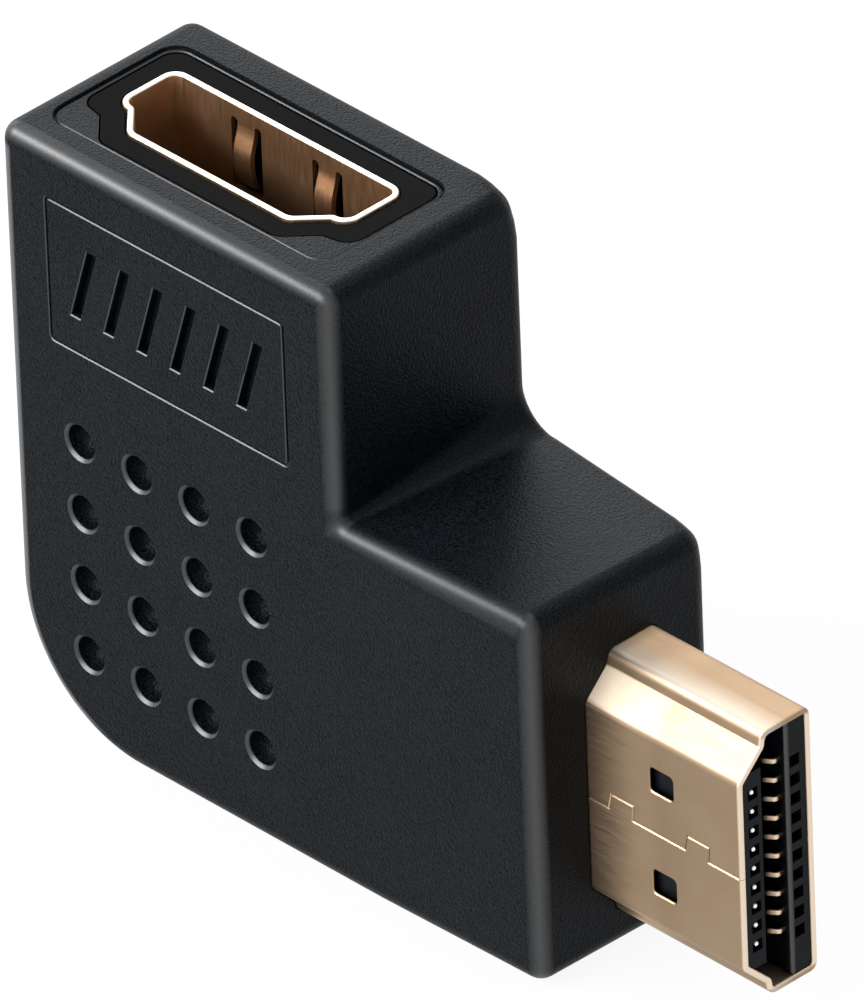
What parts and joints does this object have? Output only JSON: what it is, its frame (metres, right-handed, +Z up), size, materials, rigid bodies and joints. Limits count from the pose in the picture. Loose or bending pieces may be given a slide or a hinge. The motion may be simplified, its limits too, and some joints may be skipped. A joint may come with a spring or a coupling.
{
  "type": "right angle audio video adapter",
  "caption": "Black right angle audio and video adapter: a moulded elbow with a gold plug on its lower arm and a matching gold socket in its top.",
  "frame": {"origin": "centre of the part's footprint, at the underside of the lower arm", "axes": "+X the way the plug points, +Z up the way the socket opens, -Y out of the dimpled face, +Y towards the connectors' wide side"},
  "size_m": [0.0424, 0.012, 0.0312],
  "materials": {
    "housing": "black overmould with a fine matte grain",
    "socket_collar": "smooth deep black",
    "socket_shell": "gold plated sheet",
    "plug_shell": "gold plated sheet",
    "plug_insulator": "satin black",
    "socket_insulator": "satin black",
    "plug_contacts": "gold plated",
    "socket_contacts": "gold plated",
    "circuit_board": "green solder mask over glass fibre"
  },
  "bodies": {
    "root": {"housing": "housing", "socket_collar": "socket_collar", "socket_shell": "socket_shell", "plug_shell": "plug_shell", "plug_insulator": "plug_insulator", "socket_insulator": "socket_insulator", "circuit_board": "circuit_board", "plug_contact_01": "plug_contacts", "plug_contact_02": "plug_contacts", "plug_contact_03": "plug_contacts", "plug_contact_04": "plug_contacts", "plug_contact_05": "plug_contacts", "plug_contact_06": "plug_contacts", "plug_contact_07": "plug_contacts", "plug_contact_08": "plug_contacts", "plug_contact_09": "plug_contacts", "plug_contact_10": "plug_contacts", "plug_contact_11": "plug_contacts", "plug_contact_12": "plug_contacts", "plug_contact_13": "plug_contacts", "plug_contact_14": "plug_contacts", "plug_contact_15": "plug_contacts", "plug_contact_16": "plug_contacts", "plug_contact_17": "plug_contacts", "plug_contact_18": "plug_contacts", "plug_contact_19": "plug_contacts", "socket_contact_01": "socket_contacts", "socket_contact_02": "socket_contacts", "socket_contact_03": "socket_contacts", "socket_contact_04": "socket_contacts", "socket_contact_05": "socket_contacts", "socket_contact_06": "socket_contacts", "socket_contact_07": "socket_contacts", "socket_contact_08": "socket_contacts", "socket_contact_09": "socket_contacts", "socket_contact_10": "socket_contacts", "socket_contact_11": "socket_contacts", "socket_contact_12": "socket_contacts", "socket_contact_13": "socket_contacts", "socket_contact_14": "socket_contacts", "socket_contact_15": "socket_contacts", "socket_contact_16": "socket_contacts", "socket_contact_17": "socket_contacts", "socket_contact_18": "socket_contacts", "socket_contact_19": "socket_contacts"}
  },
  "joints": []
}
